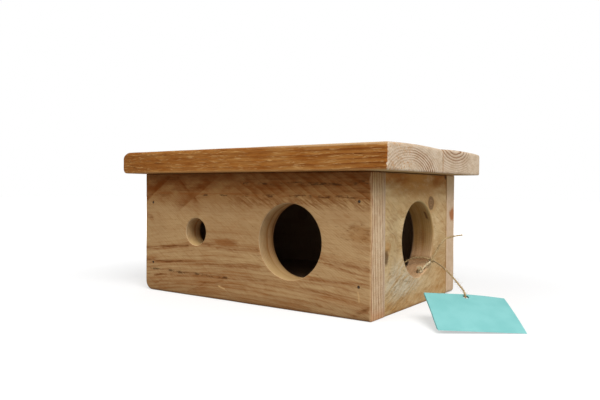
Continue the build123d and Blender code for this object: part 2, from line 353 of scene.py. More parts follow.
def front_finish():
    wood = Finish("front_board_wood")
    x, y, z = wood.axes
    height = z + wood.sway(1.5, (32, 20, 7), offset=(7, 0, 3))
    along = x + wood.sway(1.6, (24, 24, 8))
    flat = wood.point(along, 0.0, height)
    arch = z.step(74, 44) * (8.0 - x * x * (8.0 / HALF_LENGTH ** 2))
    bent = wood.point(x, y, z - arch)
    streak = wood.grain((44, 12, 1.6), detail=6.0, roughness=0.66, warp=0.35, place=bent)
    hair = wood.fibre(0, 12, 0.9, place=bent)
    mottle = wood.grain((17, 12, 7.5), detail=5.0, roughness=0.64, offset=(2, 0, 5))
    cloud = wood.grain((55, 40, 24), detail=2.0)
    slant = x + z * 1.62 + wood.sway(4.0, (50, 50, 16))
    nap = wood.grain((15, 8, 2.0), detail=4.0, roughness=0.64, place=wood.point(x * 1.62 - z, y, slant))
    low = 0.25 + 0.75 * (height + cloud * 14.0).step(60, 44)
    colour = wood.mix(cloud.step(0.36, 0.66), (170, 136, 94), (180, 146, 102))
    lay = colour.lay
    lay(x.step(40, 100), 0.25, (190, 156, 114))
    lay(streak.step(0.5, 0.64) * low, 0.36, (150, 94, 44))
    lay(streak.step(0.48, 0.34) * low, 0.44, (198, 166, 118))
    lay(mottle.step(0.46, 0.72), 0.34, (160, 114, 70))
    lay(hair.step(0.5, 0.76), 0.24, (134, 86, 44))
    lay(nap.step(0.5, 0.7), 0.34, (138, 88, 44))
    lay(nap.step(0.46, 0.3), 0.3, (194, 162, 118))

    # Growth lines, clearest on the lower half
    growth = height - arch + wood.sway(4.0, (80, 30, 18))
    lay((growth / 3.4).late_wood().power(3.0) * low * mottle.step(0.3, 0.58), 0.5, (124, 70, 30))

    def line(start, end, half_width):
        return wood.stroke(flat, (start[0], 0, start[1]), (end[0], 0, end[1]), half_width)

    # Brown streaks along these lines: ends across and up, half width, weight
    marks = (
        ((-111, 36), (-60, 41), 3.8, 0.8), ((-60, 41), (-44, 43), 3.0, 0.6),
        ((-42, 43.5), (14, 42), 4.4, 0.7), ((-29, 46.4), (-8, 45.6), 4.0, 0.7),
        ((-111, 26), (-48, 27.3), 4.2, 0.8), ((-48, 27.3), (14, 30), 4.2, 0.7),
        ((-111, 18), (-20, 19), 4.4, 0.7), ((-111, 8), (0, 13), 6.0, 0.6), ((-60, 2), (-22, 16), 3.4, 0.6),
        ((66, 41.5), (111, 33.5), 3.6, 0.6), ((74, 36), (97, 30.5), 2.4, 0.5),
        ((54, 24.5), (111, 24), 3.0, 0.4), ((-20, 22), (52, 21), 4.0, 0.5), ((30, 19), (111, 11), 3.6, 0.5),
        ((97, 3), (111, 10), 4.2, 0.75), ((98, 63), (111, 58), 4.0, 0.5),
        ((96, 49.5), (111, 48.8), 2.0, 0.4), ((104, 56), (111, 53), 3.0, 0.6),
        ((-111, 65), (-104, 63), 4.0, 0.9), ((-40, 54), (13, 53), 3.0, 0.4), ((-10, 17), (45, 4), 3.4, 0.5),
        ((-95, 4), (60, 3), 4.6, 0.6), ((-100, 13), (-86, 16), 3.0, 0.8), ((20, 9), (70, 6), 3.2, 0.6),
    )
    density = 0.0
    for start, end, half_width, weight in marks:
        density = (line(start, end, half_width) * weight).larger(density)
    lay(density * (0.45 + 0.8 * streak.step(0.36, 0.66)), 0.66, (134, 78, 32))
    heart = density.step(0.5, 0.82) * hair.step(0.4, 0.6) * mottle.step(0.36, 0.56)
    lay(heart, 0.62, (100, 56, 24))
    smudge = wood.spot(flat, (-20, 0, 45.4), (13, 1, 4.2)) + wood.sway(0.8, (9, 6, 2.0), detail=4.0)
    lay(smudge.step(1.3, 0.3), 0.66, (134, 80, 36))

    # Thin dark veins along these routes
    veins = (
        ((-111, 35.3), (-98, 35.6), (-86, 37.8), (-60, 40)), ((-46, 43.5), (-36, 42.5)),
        ((-28, 41), (-11, 40.3), (13, 42.3)), ((-111, 26), (-86, 26), (-52, 29)), ((-36, 26.2), (2, 27.7)),
        ((-111, 13.4), (-52, 16.8), (-4, 18.4), (22, 19.6)), ((69, 39.8), (82, 37.3), (109, 34.8)),
        ((77.5, 35.7), (97.5, 31.3)), ((61, 23.7), (102, 24.2)), ((53, 17.6), (90, 12.7)),
        ((-60, 3.2), (-41, 11.5)), ((-101, 5.6), (-86, 12.8)),
    )
    vein = 0.0
    for route in veins:
        for start, end in zip(route, route[1:]):
            vein = line(start, end, 1.4).larger(vein)
    vein = vein * (0.3 + 0.7 * hair.step(0.38, 0.56)) * (0.4 + 0.6 * nap.step(0.36, 0.58))
    lay(vein, 0.62, (120, 66, 26))
    lay((streak * 0.6 + hair * 0.5 + density * 0.34).step(0.78, 0.96), 0.5, (88, 52, 25))

    # Dark wood along the top, weathered and partly painted shade from the roof: three slanted fronts on the
    # left, saw scars on the right
    right = along.step(-34, 4)
    # Painted shade from the roof, darkening the upper left of the front
    painted_roof_shade = (height + mottle * 8.0).step(66, 84) * x.step(60, -20) * height.step(90, 80)
    lay(painted_roof_shade, 0.34, (124, 78, 38))
    lay((z + mottle * 6.0).step(16, 4), 0.32, (104, 68, 34))
    scars = (slant / 10.4).cycle()
    scar = scars.ramp((0.0, 0.0), (0.03, 1.0), (0.3, 0.8), (0.7, 0.4), (0.97, 0.15), (1.0, 0.0))
    band = right * (height + wood.sway(5.0, (22, 20, 9))).step(77, 88) * (0.5 + 0.5 * scar)
    fronts = (((-116, 0, 73.5), (-78, 0, 98.5), 30.0), ((-70, 0, 70), (-22, 0, 99.5), 26.0),
              ((-48, 0, 77), (-74, 0, 99.5), 9.0))
    for start, end, fade in fronts:
        band = (wood.flank(flat, start, end, fade) * z.step(62, 84)).larger(band)
    # Painted shade from the roof across the whole top, added to the weathered band
    band = (0.76 * (height + mottle * 16.0).step(80, 102)).larger(band)
    band = band * (0.6 + 0.5 * mottle.step(0.3, 0.66))
    lay(band, 0.92, (118, 61, 16))
    lay(band * streak.step(0.48, 0.66), 0.5, (72, 34, 6))
    # Painted shade under the roof, warmed as by bounced light
    colour.shade(z.step(70, 90), (1.0, 0.89, 0.7))
    lay(line((-112, 84.5), (111, 82.4), 1.5) * hair.step(0.34, 0.6), 0.6, (134, 74, 28))
    trails = right * z.step(66, 82) * scars.step(0.3, 0.06) * mottle.step(0.36, 0.6)
    lay(trails, 0.62, (128, 76, 32))
    combed = right * z.step(72, 77) * z.step(83, 80) * nap.step(0.4, 0.6)
    lay(combed, 0.5, (112, 64, 28))
    # Painted shade just under the roof
    lay(z.step(92, 98), 0.3, (70, 36, 12))
    hatch = (slant / 2.9).cycle()
    lay(hatch.step(0.3, 0.9) * (cloud.step(0.4, 0.6) * 0.5 + band), 0.28, (112, 70, 32))

    # Rows of short dark checks, a feathered swirl at the right and scattered pores
    checks = 0.0
    for level, first, last in ((91.8, 0, 110), (82.8, -46, 108), (18.2, -106, -18), (93.5, 85, 108)):
        checks = line((first, level), (last, level), 1.7).larger(checks)
    dashes = wood.grain((5.0, 8, 1.7), offset=(3, 0, 9)).step(0.48, 0.64)
    lay(checks.step(0.1, 0.7) * dashes, 0.7, (60, 38, 20))
    feather = wood.spot(flat, (102, 0, 57.5), (13, 1, 8.0)) + wood.sway(0.5, (9, 6, 3), detail=4.0)
    barbs = ((height + along * 0.5) / 2.6).cycle()
    lay(feather.step(1.15, 0.5) * (0.6 + 0.4 * barbs), 0.5, (148, 102, 54))
    lay(feather.step(1.3, 0.7) * dashes, 0.4, (104, 62, 28))
    lay(wood.grain((3.6, 3, 1.0), offset=(9, 0, 1)).step(0.67, 0.75), 0.45, (84, 54, 28))

    # Two pale scratches, a darker lower edge and a worn, pale upright arris
    for start, end, strength in (((-26.5, 10.8), (-20, 9.0), 0.75), ((100.2, 19), (100.6, 13), 0.5)):
        lay(line(start, end, 1.0), strength, (210, 172, 118))
    lay(z.step(3.0, 0.2), 0.6, (86, 54, 28))
    lay((x + wood.sway(1.8, (3, 3, 4))).step(107.9, 109.3), 0.5, (190, 156, 116))

    # Cut wood: fine upright growth lines on the end grain, the bores and the mouths of the nail holes
    lines = y + wood.sway(1.0, (60, 30, 40), detail=2.0) + wood.sway(0.3, (9, 9, 6), detail=2.0)
    late = (lines / 2.4).late_wood()
    broken = wood.fibre(2, 7, 0.6)
    cut = wood.mix(mottle.step(0.35, 0.65), (218, 190, 152), (232, 207, 171))
    # Painted warm shade under the roof: the top of the end grain turns olive
    cut.lay(z.step(70, 100), 0.5, (196, 170, 112))
    cut.lay(late, 0.6 + 0.6 * broken.step(0.36, 0.6), (142, 88, 54))
    cut.lay(broken.step(0.5, 0.76), 0.4, (150, 106, 74))
    # Painted shade in the joint beside the end panel
    cut.lay(y.step(-62, -57), 0.4, (186, 164, 146))
    # Painted shade under the roof
    cut.shade(z.step(85, 98), (0.66, 0.56, 0.46))
    cut.lay(z.step(10, 2), 0.45, (188, 124, 74))
    lay(wood.facing[1].step(0.75, 0.45), 1.0, cut)
    depth = y - FRONT_Y
    tones = bore_tones(wood, depth, 20.0, 42.5)
    face = wood.point(x, 0.0, z)
    for (across, up, diameter), share in ((ENTRANCE, 0.5), (SMALL_HOLE, 0.76)):
        radius = diameter / 2
        drilled = wood.spot(face, (across, 0, up)).step(radius + 1.0, radius + 0.4) * depth.step(0.1, 0.7)
        # Painted light: the lower walls of the bores are lightened
        lit = Colour(wood, tones.socket)
        lit.lay(z.step(up - 0.1 * diameter, up - 0.5 * diameter), share, (212, 178, 122))
        lay(drilled, 1.0, lit)
    for across, up in FRONT_NAILS:
        lay(wood.spot(face, (across, 0, up)).step(NAIL_MOUTH + 0.5, NAIL_MOUTH), 0.85, (58, 44, 34))
    paint_shade_inside(wood, colour)
    wood.bump(hair * 0.6 + hatch * 0.3 + mottle * 0.5, 0.5, 0.35)
    return wood.done(colour, 0.7 + hair * 0.18)


def end_finish():
    wood = Finish("end_wood")
    x, y, z = wood.axes
    swayed = wood.sway(2.4, (12, 12, 12))
    flat = wood.point(0.0, y + swayed, z + wood.sway(2.4, (12, 12, 12), offset=(5, 1, 0)))
    blots = wood.grain((8, 20, 6.5), detail=5.0, roughness=0.66)
    cloud = wood.grain((30, 44, 18), detail=4.0, roughness=0.6)
    slant = (y + 20.0) * (z.step(26, 56) - 0.45) + z + wood.sway(3.5, (16, 16, 8), detail=4.0)
    lean = wood.point(x, y, slant)
    wool = wood.grain((4.0, 15.0, 2.4), detail=5.0, roughness=0.66, warp=0.4, place=lean)
    fuzz = wood.grain((1.6, 9.0, 1.0), detail=4.0, roughness=0.7, place=lean)
    colour = wood.mix(cloud.step(0.38, 0.64), (197, 164, 116), (211, 182, 136))
    lay = colour.lay
    calm = z.step(88, 66)
    lay(blots.step(0.46, 0.68) * (0.3 + calm), 0.5, (172, 130, 80))
    lay(wool.step(0.48, 0.7) * (0.1 + calm), 0.42, (222, 200, 160))
    lay(wool.step(0.46, 0.28) * (0.3 + calm), 0.32, (140, 104, 62))
    lay(fuzz.step(0.52, 0.7), 0.34, (228, 206, 168))
    lay(fuzz.step(0.47, 0.3), 0.4, (134, 98, 56))
    lay(wood.spot(flat, (0, -42, 52), (1, 12, 26)).step(1.3, 0.4), 0.3, (158, 134, 100))

    # Slanted saw marks, strongest on the left, that turn over halfway up
    saw = (slant / 3.6).cycle().ramp((0, 0.0), (0.5, 1.0), (0.8, 0.3), (1, 0))
    rough = y.step(24, -30) * blots.step(0.38, 0.64) * calm
    lay(saw * rough, 0.2, (142, 106, 62))

    # Orange wood: middle across and up, half width and height, weight
    patches = ((44, 18, 24, 26, 0.4), (0, 97, 80, 15, 0.85), (-10, 3, 64, 8, 0.36), (48, 66, 14, 22, 0.2),
               (-51, 47, 5, 6, 0.4), (6, 84, 44, 6, 0.12))
    for across, up, width, rise, weight in patches:
        patch = wood.spot(flat, (0, across, up), (1, width, rise)).step(1.3, 0.3) * blots.step(0.24, 0.58)
        lay(patch, weight, (174, 118, 52))

    # Grey-green weathering low on the left, brown bands above and painted shade in a strip under the roof
    green = wood.spot(flat, (0, -26, 22), (1, 42, 17)).step(1.2, 0.3)
    lay(green * wool.step(0.36, 0.6), 0.7, (206, 196, 172))
    specks = wood.grain((2.4, 5.4, 1.5), detail=4.0, offset=(2, 2, 2)).step(0.52, 0.68)
    lay(green * specks, 0.5, (124, 106, 70))
    curl = wood.sway(6.5, (60, 30, 10), detail=4.0, offset=(0, 3, 5))
    bands = ((z + curl) / 8.0).cycle().ramp((0.0, 0.2), (0.3, 0.0), (0.65, 1.0), (1.0, 0.2))
    lay(bands * z.step(72, 92), 0.34, (142, 94, 42))
    beside = abs(y - 3.0).step(10, 34)
    colour.shade(beside * (z + blots * 6.0).step(90, 98), (0.72, 0.56, 0.4))

    # Knots: a grey-brown one above the hole and bark in the joint; then painted shade in the corner gap
    # under the roof
    knot = wood.spot(flat, (0, 25.2, 77.2), (1, 5.8, 4.8))
    swirl = (knot * 2.4).cycle().ramp((0, (150, 114, 82)), (0.6, (112, 80, 52)), (1, (158, 120, 84)))
    lay(knot.step(2.6, 1.0) * knot.step(0.9, 1.1), 0.4, (176, 124, 66))
    lay(knot.step(1.1, 0.8), 0.85, swirl)
    lay(knot.step(1.25, 1.0) * knot.step(0.7, 0.95), 0.6, (96, 70, 46))
    lay(wood.spot(flat, (0, -53.4, 41), (1, 4.4, 6.6)).step(1.15, 0.5), 0.8, (92, 66, 42))
    lay(y.step(-54.4, -55.8), 0.5, (120, 92, 60))
    lay(wood.spot(flat, (0, 56, 99), (1, 3.6, 2.6)).step(1.2, 0.5), 0.85, (48, 34, 22))
    lay(z.step(2.6, 0.3), 0.55, (110, 74, 42))

    # Bore: olive above, darkened there as painted shade, and pinkish below, lightened there as painted
    # light, with a dark band of painted shade by the twine, a blotch, a painted highlight on the upper rim
    # and a resin streak
    depth = END_X - x
    drilled = bore_tones(wood, depth, 18.0, 4.0)
    drilled.lay(z.step(32, 62), 0.6, (168, 128, 66))
    drilled.lay(z.step(46, 30), 0.55, (206, 168, 130))
    drilled.lay(abs(z - 32.4).step(3.6, 0.4), 0.62, (112, 72, 34))
    drilled.lay(wood.spot(wood.place, (100, 29, 50), (4, 6, 8)).step(1.3, 0.2), 0.5, (128, 84, 44))
    drilled.lay(depth.step(3.0, 0.4) * z.step(60, 77), 0.6, (196, 174, 124))
    drilled.lay(wood.stroke(wood.place, (105, 22.1, 70.0), (105.4, 25.6, 65.4), 1.5), 0.8, (84, 48, 22))
    lay(wood.facing[0].step(0.97, 0.85), 1.0, drilled)
    paint_shade_inside(wood, colour)
    wood.bump(saw * rough * 0.8 + wool * 0.9 + blots * 0.6 + fuzz * 0.5, 0.6, 0.5)
    return wood.done(colour, 0.74 + wool * 0.16)


def plain_finish(name, axis, rise_axis, pale, tan, brown, seed):
    """Sawn board whose face lies across one axis, for the sides that the weather reached less."""
    wood = Finish(name)
    z = wood.axes[2]
    run_axis = 0 if axis else 1
    along, rise, through = [wood.axes[part] for part in (run_axis, rise_axis, axis)]
    hair = wood.fibre(run_axis, 16, 0.6, offset=(seed, 0, 0))
    cloud = wood.grain((60, 40, 24), offset=(0, seed, 0))
    mottle = wood.grain((12, 9, 6), detail=5.0, roughness=0.64, offset=(seed, 1, 4))
    drift = wood.sway(7.0, (170, 90, 17), detail=4.0, warp=0.35, offset=(seed, seed, 0))
    late = ((through + drift) / 3.3).late_wood()
    colour = wood.mix(cloud.step(0.35, 0.66), tan, pale)
    lay = colour.lay
    lay(late * cloud.step(0.7, 0.3), 0.6, brown)
    lay(mottle.step(0.5, 0.74), 0.4, tan)
    lay(hair.step(0.5, 0.78), 0.4, brown)
    slant = along + rise * 0.22 + wood.sway(1.6, (26, 26, 26))
    saw = (slant / 4.4).cycle().ramp((0, 0.0), (0.55, 1.0), (0.85, 0.4), (1, 0))
    patchy = wood.grain((38, 30, 26), detail=2.0, offset=(0, 0, seed)).step(0.44, 0.66)
    lay(saw * patchy, 0.3, brown)
    face = wood.point(along, rise, 0.0)
    for centre, radius in (((-38.0, 63.0, 0.0), 6.0), ((30.0, 34.0, 0.0), 4.4)):
        away = wood.spot(face, centre) / radius + wood.sway(0.25, (6, 6, 6))
        core = (away * 3.0).cycle().ramp((0, (120, 78, 44)), (0.7, (92, 58, 32)), (1, (134, 90, 54)))
        lay(away.step(2.6, 1.0) * away.step(0.9, 1.1), 0.5, brown)
        lay(away.step(1.08, 0.86), 0.95, core)
    lay(z.step(3.0, 0.2), 0.5, (92, 60, 34))
    lines = through + wood.sway(1.3, (60, 30, 40), detail=2.0)
    cut = wood.mix(mottle.step(0.35, 0.66), (212, 184, 152), (224, 198, 168))
    # Painted warm shade under the roof: the top of the end grain turns olive
    cut.lay(z.step(74, 100), 0.6, (190, 164, 116))
    cut.lay((lines / 2.6).late_wood(), 0.35, (170, 132, 100))
    knot = wood.spot(wood.place, (110, 69.0, 66.7), (12, 6.0, 6.2)) + wood.sway(0.5, (4, 5, 4))
    cut.lay(knot.step(1.2, 0.5), 0.85, (172, 102, 54))
    lay(wood.facing[axis].step(0.75, 0.45), 1.0, cut)
    paint_shade_inside(wood, colour)
    wood.bump(hair * 0.6 + saw * patchy * 0.6 + mottle * 0.5, 0.5, 0.35)
    return wood.done(colour, 0.72 + hair * 0.18)


def roof_finish(name, pith, squeeze, spacing, tighten, strengths, seed):
    """Weathered orange-brown plank with pale, ringed end grain. The rings lie flattened about a pith along X
    and tighten away from it, and strengths give their contrast by distance from it."""
    wood = Finish(name)
    x, y, z = wood.axes
    across = (y - pith[0]) * squeeze
    up = z - pith[1]
    reach = (across * across + up * up).root() + wood.sway(0.7, (60, 13, 8))
    uneven = wood.sway(0.9, (4.5, 1, 1), detail=2.0, place=wood.point(reach, seed, 0.0))
    rings = (reach + uneven) / spacing + reach * reach * tighten
    drift = wood.sway(2.6, (75, 34, 9), detail=4.0, offset=(seed, 0, 0))
    late = ((z + y * 0.22 + drift) / 3.3).late_wood()
    streak = wood.grain((24, 3.0, 1.4), detail=5.0, roughness=0.68, warp=0.35, offset=(seed, 2, 0))
    hair = wood.fibre(0, 9, 0.8, offset=(0, seed, 0))
    cloud = wood.grain((34, 22, 13), offset=(seed, 3, 0))
    colour = wood.mix(cloud.step(0.34, 0.66), (150, 90, 34), (168, 116, 60))
    lay = colour.lay
    lay(late, 0.4 + 0.4 * x.step(10, 100), (112, 56, 18))
    lay(x.step(-30, -126), 0.5, (128, 76, 30))
    lay(streak.step(0.5, 0.7), 0.5, (118, 64, 22))
    lay(streak.step(0.47, 0.3), 0.5, (186, 134, 72))
    lay(hair.step(0.52, 0.7), 0.42, (106, 58, 22))
    flecks = wood.grain((9, 1.6, 0.9), detail=4.0, warp=0.4, offset=(seed, 0, 2)).step(0.55, 0.65)
    lay(flecks * cloud.step(0.26, 0.54), 0.5, (208, 164, 106))
    checks = wood.grain((15, 1.4, 0.9), warp=0.4, offset=(1, seed, 7)).step(0.63, 0.74)
    lay(checks, 0.6, (80, 40, 14))

    # The top has gone paler and greyer than the edges, the lower arris is worn pale, the right of the upper
    # front arris carries a painted highlight, and the seam is dark
    lay(z.step(117.4, 118.9) * (0.3 + cloud * 0.6), 0.8, (184, 142, 94))
    lay(z.step(102.4, 100.9), 0.45, (192, 146, 92))
    # Painted highlight along the right of the upper front arris
    arris_highlight = z.step(116.3, 117.7) * x.step(0, 90) * y.step(-60, -80) * wood.facing[1].step(0.05, 0.3)
    lay(arris_highlight, 0.55, (214, 184, 140))
    lay(abs(y - ROOF_SEAM).step(1.1, 0.3), 0.6, (84, 50, 24))

    # End grain: fine rings on pale pinkish wood, broken into specks near the front, with saw scratches
    contrast = (reach / 60.0).ramp(*[(place / 60.0, value) for place, value in strengths])
    patchy = 0.55 + 0.9 * wood.grain((9, 12, 5), offset=(seed, 0, 0))
    contrast = contrast * patchy * y.step(67, 53)
    speckle = wood.grain((1.8, 2.6, 1.3), detail=4.0, roughness=0.7)
    torn = y.step(-38, -62)
    cut = wood.mix(wood.grain((6, 9, 5)).step(0.35, 0.65), (209, 186, 158), (223, 203, 178))
    cut.lay(rings.late_wood() * contrast * (1.0 - torn * 0.5), 1.0, (134, 84, 48))
    cut.lay(speckle.step(0.5, 0.68) * (0.35 + torn), 0.6, (194, 138, 84))
    cut.lay(speckle.step(0.44, 0.3), 0.3, (228, 208, 184))
    scratches = ((y + z * 1.3 + wood.sway(1.0, (9, 9, 9))) / 3.1).cycle()
    cut.lay(scratches.step(0.5, 1.0), 0.2, (160, 126, 96))
    cut.lay(y.step(2.9, 3.3) * y.step(6.5, 3.3), 0.4, (172, 118, 66))
    # Painted bounce light: the underside near the end is lightened to a pale olive-cream
    under = z.step(103, 100.6) * wood.facing[2].step(0.5, 0.9) * x.step(109, 113)
    lay(under, 0.8, (176, 150, 108))
    sawn = wood.facing[0] + wood.sway(0.3, (4, 4, 2.0), detail=4.0) - 0.5 * wood.facing[1].step(0.2, 0.6)
    ragged = x + wood.sway(2.2, (5, 5, 1.8), detail=4.0, offset=(0, 0, seed))
    sawn = sawn.step(0.22, 0.44).larger(ragged.step(ROOF_END - 0.9, ROOF_END - 0.1))
    lay(sawn, 1.0, cut)
    paint_shade_inside(wood, colour)
    wood.bump(late * 0.4 + hair * 0.6 + flecks * 0.6 + streak * 0.6 - checks * 0.8, 0.6, 0.4)
    return wood.done(colour, 0.66 + hair * 0.2)


def steel_finish():
    steel = Finish("dull_steel")
    rust = steel.grain((1.1, 1.1, 1.1), detail=5.0, roughness=0.65)
    scuff = steel.grain((0.3, 0.3, 1.6))
    colour = steel.mix(rust.step(0.42, 0.66), (84, 78, 72), (74, 52, 38))
    steel.feed(steel.shader.inputs["Metallic"], rust.step(0.66, 0.42))
    steel.bump(rust + scuff, 0.4, 0.08)
    return steel.done(colour, 0.5 + rust * 0.3, 0.4)


def twine_finish(name, dull, bright, dark):
    jute = Finish(name)
    strands = jute.grain((0.22, 0.22, 0.22), detail=4.0, roughness=0.65, warp=0.6)
    colour = jute.mix(jute.grain((7, 7, 7), detail=2.0).step(0.35, 0.65), dull, bright)
    colour.lay(strands.step(0.45, 0.72), 0.55, dark)
    jute.bump(strands, 0.7, 0.1)
    jute.shader.inputs["Sheen Weight"].default_value = 0.2
    return jute.done(colour, 0.8 + strands * 0.15, 0.2)


def card_finish():
    card = Finish("teal_card")
    pulp = card.grain((0.5, 0.5, 0.5), detail=4.0, roughness=0.7)
    cloud = card.grain((18, 18, 18), detail=2.0)
    colour = card.mix(cloud.step(0.35, 0.68), (123, 189, 187), (132, 196, 194))
    threads = card.grain((2.6, 0.25, 0.6), detail=2.0, warp=1.2).step(0.68, 0.75)
    colour.lay(threads, 0.22, (92, 160, 158))
    colour.lay(pulp.step(0.45, 0.75), 0.12, (104, 174, 172))
    card.bump(pulp + threads * 0.3, 0.25, 0.05)
    return card.done(colour, 0.62 + pulp * 0.2, 0.3)


def facing(origin, outward):
    """Place for a drill or fastener whose +Z points out of the wood."""
    return Matrix.Translation(origin) @ Vector(outward).to_track_quat("Z", "Y").to_matrix().to_4x4()


def placed(shape, place):
    """A shape of points and faces, carried to a place."""
    points, faces = shape
    matrix = np.array(place)
    return np.asarray(points, float) @ matrix[:3, :3].T + matrix[:3, 3], faces


def on_face(shape, y, outward, spots):
    """Copies of a shape on a face across Y, at these spots across and up."""
    return [placed(shape, facing((x, y, z), outward)) for x, z in spots]


def joined(shapes):
    """Several shapes as one."""
    points, faces, count = [], [], 0
    for shape_points, shape_faces in shapes:
        points.append(np.asarray(shape_points, float))
        faces += [[index + count for index in face] for face in shape_faces]
        count += len(shape_points)
    return np.concatenate(points), faces


def piece(name, shape, material=None, sharp=SHARP_ANGLE):
    """An object from points in millimetres and faces, smooth but for its sharp edges."""
    points, faces = shape
    mesh = bpy.data.meshes.new(name)
    mesh.from_pydata((np.asarray(points) * MM).tolist(), [], [list(map(int, face)) for face in faces])
    mesh.validate()
    mesh.shade_smooth()
    mesh.set_sharp_from_angle(angle=math.radians(sharp))
    made = bpy.data.objects.new(name, mesh)
    scene.collection.objects.link(made)
    if material:
        mesh.materials.append(material)
    return made


def settle(made, body, slot, *nodes):
    """Rides a piece on its body and hides the plain solids that it stands for; its slot is not used."""
    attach(made, body)
    if nodes:
        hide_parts(*nodes)
    return made


def turned(outline, sides):
    """A round shape about Z from radius and height, listed from its top axis point to its lowest."""
    points, faces, rows = [], [], []
    for radius, height in outline:
        count = 1 if radius == 0 else sides
        rows.append(range(len(points), len(points) + count))
        for step in range(count):
            turn = 2 * math.pi * step / sides
            points.append((radius * math.cos(turn), radius * math.sin(turn), height))
    for upper, lower in zip(rows, rows[1:]):
        for step in range(sides):
            following = (step + 1) % sides
            face = [upper[step % len(upper)], lower[step % len(lower)], lower[following % len(lower)],
                    upper[following % len(upper)]]
            faces.append(list(dict.fromkeys(face)))
    return points, faces


def cut_away(made, *shapes):
    """Cuts closed shapes out of a piece."""
    cutter = piece("cutter", joined(shapes))
    cut = made.modifiers.new("cut", "BOOLEAN")
    cut.operation = "DIFFERENCE"
    cut.solver = "EXACT"
    cut.object = cutter
    graph = bpy.context.evaluated_depsgraph_get()
    mesh = bpy.data.meshes.new_from_object(made.evaluated_get(graph))
    made.modifiers.clear()
    old_meshes = (made.data, cutter.data)
    made.data = mesh
    mesh.name = made.name
    bpy.data.objects.remove(cutter)
    for old in old_meshes:
        bpy.data.meshes.remove(old)
    mesh.shade_smooth()
    mesh.set_sharp_from_angle(angle=math.radians(SHARP_ANGLE))


def bore(diameter, depth, rim, tear, seed):
    """Drill with a rounded rim, the faint ridges that a hole saw leaves and an inner edge torn open."""
    radius = diameter / 2
    outline = [(0, 3.0), (radius + rim, 3.0)]
    for step in range(6):
        turn = math.radians(90 * step / 5)
        outline.append((radius + rim * (1 - math.sin(turn)), rim * (math.cos(turn) - 1)))
    count = round(depth / 0.9)
    for step in range(1, count + 3):
        height = -rim - (depth + 2 - rim) * step / (count + 2)
        flare = max(0.0, tear - depth - height)
        outline.append((radius + flare + 0.05 * noise.noise((seed, 0.0, 0.6 * height)), height))
    outline.append((0, outline[-1][1]))
    return turned(outline, 120 if radius > 20 else 64)


def grid_lines(low, high, pitch):
    """Grid lines across a board, closer together along its edges."""
    count = max(2, round((high - low - 2 * EDGE_STEPS[-1]) / pitch))
    middle = np.linspace(low + EDGE_STEPS[-1], high - EDGE_STEPS[-1], count + 1)
    return np.concatenate([low + EDGE_STEPS[:-1], middle, (high - EDGE_STEPS[:-1])[::-1]])


def quads_on(sheet):
    """Quads between neighbours on a grid of point numbers."""
    corners = (sheet[:-1, :-1], sheet[1:, :-1], sheet[1:, 1:], sheet[:-1, 1:])
    return np.stack(corners, -1).reshape(-1, 4)


def lattice(lines):
    """Points and outward quads of a box's surface on its grid lines."""
    shape = [len(line) for line in lines]
    shell = np.ones(shape, bool)
    shell[1:-1, 1:-1, 1:-1] = False
    index = np.full(shape, -1)
    index[shell] = np.arange(shell.sum())
    where = np.argwhere(shell)
    points = np.stack([lines[axis][where[:, axis]] for axis in range(3)], 1)
    quads = []
    for axis in range(3):
        for side in (0, -1):
            faces = quads_on(np.take(index, side, axis=axis))
            outward = (side == -1) != (axis == 1)
            quads.append(faces if outward else faces[:, ::-1])
    return points, np.concatenate(quads)


def side_sizes(sizes, offset, half, across):
    """One size for a whole face, or four for its sides, blended towards each corner."""
    if not hasattr(sizes, "__len__"):
        return np.full(len(offset), float(sizes))
    nearness = [1 / (0.4 + half[a] - side * offset[:, a]) ** 4 for a in across for side in (-1, 1)]
    weights = np.stack(nearness, 1)
    return (weights * np.array(sizes)).sum(1) / weights.sum(1)


def rounded_pair(first, second):
    """Turns the square corner of two distances into an arc: the same reach, at the same slope."""
    longest = np.maximum(first, second)
    share = np.where((first > 0) & (second > 0), longest / np.maximum(np.hypot(first, second), 1e-9), 1.0)
    return first * share, second * share


def noise_at(points, size, seed):
    shift = Vector((seed, 2.7 * seed, -seed))
    return np.array([noise.noise(Vector(point) / size + shift) for point in points])


